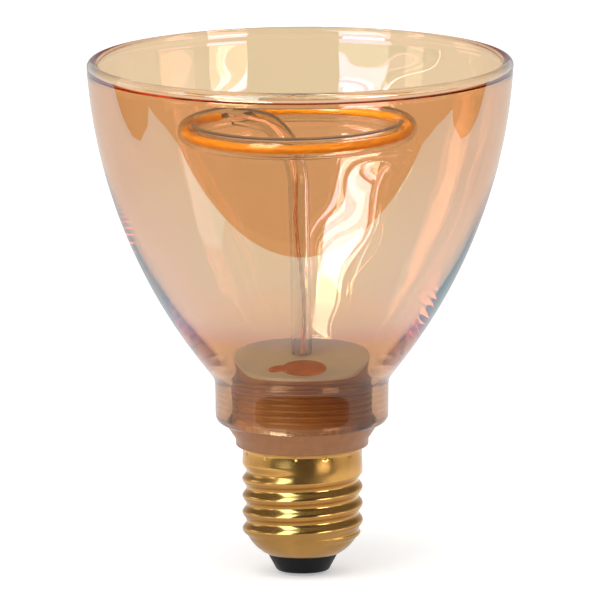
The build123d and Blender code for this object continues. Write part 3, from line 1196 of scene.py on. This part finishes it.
    def build_bond(self) -> None:
        """Turn a ring of bond on the ledge, whose round crown sways up and down a little."""
        inner = self.drum_radius + self.seam_proud + self.bond_gap
        outer = self.bore_radius - self.bond_gap
        half = (outer - inner) / 2
        crown = arc(((inner + outer) / 2, 0), half, 0, HALF, self.bond_rows)
        angles = turn_angles(self.steps)
        sway = self.bond_sway * sum(wave.value(angles, 0) - wave.share for wave in self.bond_waves)
        foot = np.full((2, self.steps), self.ledge)
        radius = np.concatenate([[inner, outer], crown[:, 0]])[:, None]
        height = np.concatenate([foot, self.ledge + self.bond_height - half + sway + crown[:, 1:]])
        surface = lathe(radius, height, angles, closed=True)
        build_piece("neck_bond_ring", surface, Edge.CREASED, "neck_bond", self.bond)

    def build_glue(self) -> None:
        """Spread a pool of set glue: a circle joined softly to a tail's, under a dome.

        The dome's height is the root of one less a power of the share of the way to the edge.
        """
        low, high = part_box("sealing_glue")
        pool = (high.y - low.y) / 2
        centre = Vector((high.x - pool, (low.y + high.y) / 2, low.z))
        angle = turn_angles(self.pool_steps)
        tip = np.array([low.x + self.tail_radius - centre.x, self.tail_side])
        along = np.stack([np.cos(angle), np.sin(angle)], axis=-1) @ tip
        near = np.maximum(self.tail_radius**2 - (tip @ tip - along**2), 0)
        tail = np.where((near > 0) & (along > 0), along + np.sqrt(near), 0)
        reach = soft_max(pool - self.pool_inset, tail, self.pool_blend)
        share = np.sin(np.linspace(0, QUARTER, self.pool_rows))[:, None]
        lift = (high.z - low.z) * np.sqrt(1 - share**self.pool_power)
        radius = np.concatenate([share * reach, 0 * reach[None, :]])
        height = np.concatenate([lift, np.zeros((1, 1))])
        surface = lathe(radius, height, angle, closed=False).moved(Matrix.Translation(centre))
        build_piece("glue_pool", surface, Edge.CREASED, "sealing_glue", self.glue)

    def build(self) -> None:
        """Build the moulding, the bond and the glue."""
        self.build_moulding()
        self.build_bond()
        self.build_glue()


@dataclass
class InnerParts:
    """Finishes of the wires and the driver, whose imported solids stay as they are."""

    lacquer: Solid = Solid(
        "lead_wire", colour(250, 178, 138), colour(226, 148, 110), 2 * MM, (0.35, 0.5), 0.3 * MM, 0.005 * MM
    )
    terminal: Solid = Solid(
        "terminal_metal", (0.62, 0.58, 0.52), (0.5, 0.46, 0.4), 1 * MM, (0.25, 0.4), 0.2 * MM, 0.005 * MM,
        metallic=1.0,
    )
    board: Solid = Solid("board_laminate", colour(38, 104, 58), colour(30, 88, 48), 2 * MM, (0.35, 0.5))
    chip: Solid = Solid("chip_plastic", colour(28, 28, 29), colour(20, 20, 21), 1 * MM, (0.45, 0.6))
    sleeve: Solid = Solid("capacitor_sleeve", colour(36, 38, 52), colour(30, 31, 44), 3 * MM, (0.2, 0.3))
    ceramic: Solid = Solid("resistor_body", colour(126, 140, 124), colour(112, 126, 110), 2 * MM, (0.4, 0.55))
    live: Solid = Solid("live_insulation", colour(168, 34, 28), colour(150, 28, 22), 2 * MM, (0.4, 0.5))
    neutral: Solid = Solid("neutral_insulation", colour(32, 32, 34), colour(24, 24, 26), 2 * MM, (0.4, 0.5))

    def finishes(self) -> dict[str, Solid]:
        """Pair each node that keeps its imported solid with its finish.

        Returns:
            The finish of each node.
        """
        return {
            "lead_wire_left": self.lacquer,
            "lead_wire_right": self.lacquer,
            "filament_terminal_left": self.terminal,
            "filament_terminal_right": self.terminal,
            "driver_board": self.board,
            "bridge_rectifier": self.chip,
            "driver_chip": self.chip,
            "smoothing_capacitor": self.sleeve,
            "fuse_resistor": self.ceramic,
            "live_wire": self.live,
            "neutral_wire": self.neutral,
        }

    def build(self) -> None:
        """Dress each of these nodes."""
        for node, finish in self.finishes().items():
            dress_solid(node, finish)


@dataclass(frozen=True)
class Sheet:
    """Flat sheet of the stage, which isn't part of the lamp."""

    name: str
    corners: list[Corner]
    faces: list[tuple[int, ...]]

    def build(self, paint: Paint) -> bpy.types.Object:
        """Make the sheet.

        Args:
            paint: its material's nodes.

        Returns:
            The sheet.
        """
        mesh = bpy.data.meshes.new(self.name)
        mesh.from_pydata(self.corners, [], self.faces)
        mesh.materials.append(paint.owner)
        piece = add(self.name, mesh)
        return piece


@dataclass(frozen=True)
class Card:
    """Sheet of even brightness that mirrors, and rough faces behind glass, show; second mirrors less so."""

    name: str
    corners: list[Corner]
    glow: float
    tone: Colour = WHITE
    bare: float = 1.0
    second: float = 0.06

    def build(self) -> None:
        """Make the card, clear to rays that nothing has turned; it lights nothing else."""
        paint = Paint(self.name)
        path = paint.path()
        first = paint.ramp(path["Transmission Depth"], UNIT, self.glow * self.bare, self.glow)
        glow = paint.ramp(path["Glossy Depth"], SECOND_MIRROR, first, self.glow * self.second)
        paint.set(Base_Color=BLACK, Specular_IOR_Level=0.0, Emission_Color=self.tone, Emission_Strength=glow)
        clear = paint.node("ShaderNodeBsdfTransparent").outputs["BSDF"]
        paint.show(paint.total(path["Glossy Depth"], path["Diffuse Depth"]), clear, paint.look)
        piece = Sheet(self.name, self.corners, [tuple(range(len(self.corners)))]).build(paint)
        piece.visible_camera = False
        piece.visible_diffuse = False
        piece.visible_shadow = False


@dataclass(frozen=True)
class Softbox:
    """Lamp with a flat bright face, set by the directions in degrees that it fills as seen from the cup."""

    name: str
    side: Span
    lift: Span
    glow: float
    light: float = 1.6
    tone: Colour = WHITE
    bare: float = 1.0
    distance: float = 1.6

    def breadth(self, span: Span) -> float:
        """Width that fills a span of degrees: twice the distance times the tangent of half of it."""
        return 2 * self.distance * math.tan(math.radians(span[1] - span[0]) / 2)

    def build(self, aim: Vector) -> None:
        """Make an area light of a plain level, and a bright face that only mirrors and glass show.

        Args:
            aim: the point that the lamp faces.
        """
        turn = math.radians(sum(self.side) / 2)
        rise = math.radians(sum(self.lift) / 2)
        width = self.breadth(self.side) * math.cos(rise)
        height = self.breadth(self.lift)
        heading = Vector((math.sin(turn) * math.cos(rise), -math.cos(turn) * math.cos(rise), math.sin(rise)))
        facing = heading.to_track_quat("Z", "Y").to_matrix().to_4x4()
        matrix = Matrix.Translation(aim + heading * self.distance) @ facing
        lamp = bpy.data.lights.new(self.name, "AREA")
        lamp.shape = "RECTANGLE"
        lamp.size = width
        lamp.size_y = height
        lamp.energy = self.light * math.pi * width * height
        holder = add(self.name, lamp)
        holder.matrix_world = matrix
        holder.visible_glossy = False
        holder.visible_transmission = False
        corners = [tuple(matrix @ Vector((x * width / 2, y * height / 2, 0))) for x, y in SHEET_CORNERS]
        Card(f"{self.name}_face", corners, self.glow, self.tone, self.bare).build()


@dataclass
class Studio:
    """Pale table with a curved front edge, dark room in front of it, lamps and white surround."""

    table_edge: tuple[Point, ...] = (
        (-0.42, 0.0), (-0.385, -0.026), (-0.308, -0.075), (-0.247, -0.097), (0.0, -0.097),
        (0.247, -0.097), (0.308, -0.07), (0.385, -0.01), (0.42, 0.02),
    )
    reach: float = 4.0
    room_height: float = 5.4
    room_drop: float = 0.01
    room_mirror: float = 0.03
    horizon_mirror: float = 0.6
    sky_mirror: float = 0.15
    sky_span: Span = (0.1, 0.4)
    aim_height: float = 0.085
    fill: float = 0.65
    glow: float = 0.35
    table_white: Colour = (0.9, 0.9, 0.9)
    table_rough: float = 0.9
    shade_span: Span = (0.03, 0.08)
    shade: Span = (0.6, 1.15)
    far_span: Span = (0.11, 0.24)
    far: float = 0.82
    through: float = 0.98
    bounces: int = 200
    lift: float = 0.5 * MM
    leaf: tuple[Point, ...] = (
        (-0.233, -0.097), (-0.161, -0.075), (-0.119, -0.055),
        (-0.104, -0.053), (-0.085, -0.068), (-0.097, -0.097),
    )
    leaf_glow: float = 1.45
    finger: tuple[Point, ...] = (
        (0.289, 0.036), (0.302, 0.074), (0.351, 0.136), (0.411, 0.195),
        (0.62, 0.4), (0.62, -0.03), (0.382, -0.015), (0.325, -0.002),
    )
    softboxes: tuple[Softbox, ...] = (
        Softbox("left_front", (-52, -22), (14, 57), 140.0, tone=(0.55, 0.85, 1.0), bare=0.045),
        Softbox("left_front_low", (-52, -22), (-3, 14), 6.0, tone=(0.65, 0.85, 1.0)),
        Softbox("right_front", (30, 53), (-6, 11), 8.0),
        Softbox("right_side", (63, 86), (-5, 8), 2.2),
        Softbox("left_side", (-74, -63), (-6, 5), 4.0),
        Softbox("left_back", (-121, -98), (5, 18), 1.5),
        Softbox("top_left", (-60, -34), (57, 72), 1.5, 2.0),
        Softbox("top", (-50, 50), (62, 88), 0.2, 4.0),
    )

    def build_table(self) -> None:
        """Make the pale table, whose glow lets it read white.

        Mirrors show it shaded by the distance from the lamp's foot, and glass at an even level.
        """
        paint = Paint("table_white")
        path = paint.path()
        length = paint.node("ShaderNodeVectorMath", Vector=paint.spot())
        length.operation = "LENGTH"
        distance = length.outputs["Value"]
        near = paint.ramp(distance, self.shade_span, *self.shade)
        shaded = paint.ramp(distance, self.far_span, near, self.far)
        level = paint.ramp(path["Glossy Depth"], UNIT, self.through, shaded)
        image = paint.node("ShaderNodeEmission", Strength=level).outputs["Emission"]
        paint.set(Base_Color=self.table_white, Roughness=self.table_rough, Specular_IOR_Level=0.0)
        paint.set(Emission_Color=WHITE, Emission_Strength=self.glow)
        paint.show(paint.total(path["Glossy Depth"], path["Transmission Depth"]), paint.look, image)
        left = self.table_edge[0][1]
        right = self.table_edge[-1][1]
        back = ((self.reach, right), (self.reach, self.reach), (-self.reach, self.reach), (-self.reach, left))
        corners = [(x, y, 0.0) for x, y in self.table_edge + back]
        Sheet("table", corners, [tuple(range(len(corners)))]).build(paint)

    def build_room(self) -> None:
        """Make floor and wall in front of the table: dark in mirrors, white to the eye and through glass."""
        paint = Paint("room_dark")
        level = paint.ramp(paint.path()["Glossy Depth"], UNIT, 1.0, self.room_mirror)
        paint.set(Base_Color=BLACK, Specular_IOR_Level=0.0, Emission_Color=WHITE, Emission_Strength=level)
        low = -self.room_drop
        line = ((self.reach, low), (-self.reach, low), (-self.reach, self.room_height))
        corners = [(side * self.reach, y, z) for y, z in line for side in (-1, 1)]
        Sheet("room", corners, [(0, 1, 3, 2), (2, 3, 5, 4)]).build(paint)

    def build_world(self) -> None:
        """Make the surround: white to the eye and through glass, dimmer in mirrors and on rough surfaces."""
        graph = Graph(bpy.data.worlds.new("surround"))
        bpy.context.scene.world = graph.owner
        path = graph.path()
        heading = graph.node("ShaderNodeTexCoord").outputs["Generated"]
        split = graph.node("ShaderNodeSeparateXYZ", Vector=heading)
        dome = graph.ramp(split.outputs["Z"], self.sky_span, self.horizon_mirror, self.sky_mirror)
        sky = graph.ramp(path["Glossy Depth"], UNIT, 1.0, dome)
        level = graph.ramp(path["Is Diffuse Ray"], UNIT, sky, self.fill)
        light = graph.node("ShaderNodeBackground", Color=WHITE, Strength=level)
        graph.node("ShaderNodeOutputWorld", Surface=light.outputs["Background"])

    def build_cards(self) -> None:
        """Lay a bright leaf on the table's front left and a dark sheet on each side, out of the frame."""
        Card("leaf", [(x, y, self.lift) for x, y in self.leaf], self.leaf_glow).build()
        for side, name in ((-1, "left_finger"), (1, "right_finger")):
            Card(name, [(side * x, y, self.lift) for x, y in self.finger], 0.0).build()

    def build(self) -> None:
        """Build table, room, surround and lamps, and let light pass through many walls of glass."""
        cycles = bpy.context.scene.cycles
        cycles.max_bounces = self.bounces
        cycles.glossy_bounces = self.bounces
        cycles.transmission_bounces = self.bounces
        self.build_table()
        self.build_room()
        self.build_world()
        self.build_cards()
        aim = Vector((0, 0, self.aim_height))
        for softbox in self.softboxes:
            softbox.build(aim)
        log.info("studio: %d lamps", len(self.softboxes))


@dataclass
class Viewpoint:
    """Camera of the photograph: far off, a little above, with a very long lens."""

    distance: float = 3.5
    height: float = 0.679
    sideways: float = -0.3 * MM
    aim_height: float = 59.9 * MM
    lens: float = 986.0
    roll: float = math.radians(-0.33)
    sight: float = 50.0

    def build(self) -> None:
        """Make the camera and let the scene look through it."""
        camera = bpy.data.cameras.new("camera")
        camera.lens = self.lens
        camera.clip_end = self.sight
        holder = add("camera", camera)
        eye = Vector((self.sideways, -self.distance, self.height))
        heading = Vector((self.sideways, 0, self.aim_height)) - eye
        facing = heading.to_track_quat("-Z", "Y").to_matrix().to_4x4()
        holder.matrix_world = Matrix.Translation(eye) @ facing @ turned(self.roll, "Z")
        bpy.context.scene.camera = holder


def main() -> None:
    """Build the lamp's pieces in order, then the studio and the camera."""
    logging.basicConfig(level=logging.INFO, format="%(name)s: %(message)s")
    bpy.context.scene.view_settings.view_transform = "Standard"
    cup_low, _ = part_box("glass_cup")
    shell_low, shell_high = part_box("screw_shell")
    housing_low, housing_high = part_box("base_housing")
    GlassCup(low=cup_low.z).build()
    FilamentTube(disc_top=housing_high.z).build()
    ScrewCap(low=shell_low.z, high=shell_high.z, crest_radius=shell_high.x).build()
    Housing(top=housing_high.z, low=housing_low.z).build()
    InnerParts().build()
    Studio().build()
    Viewpoint().build()


if __name__ == "__main__":
    main()
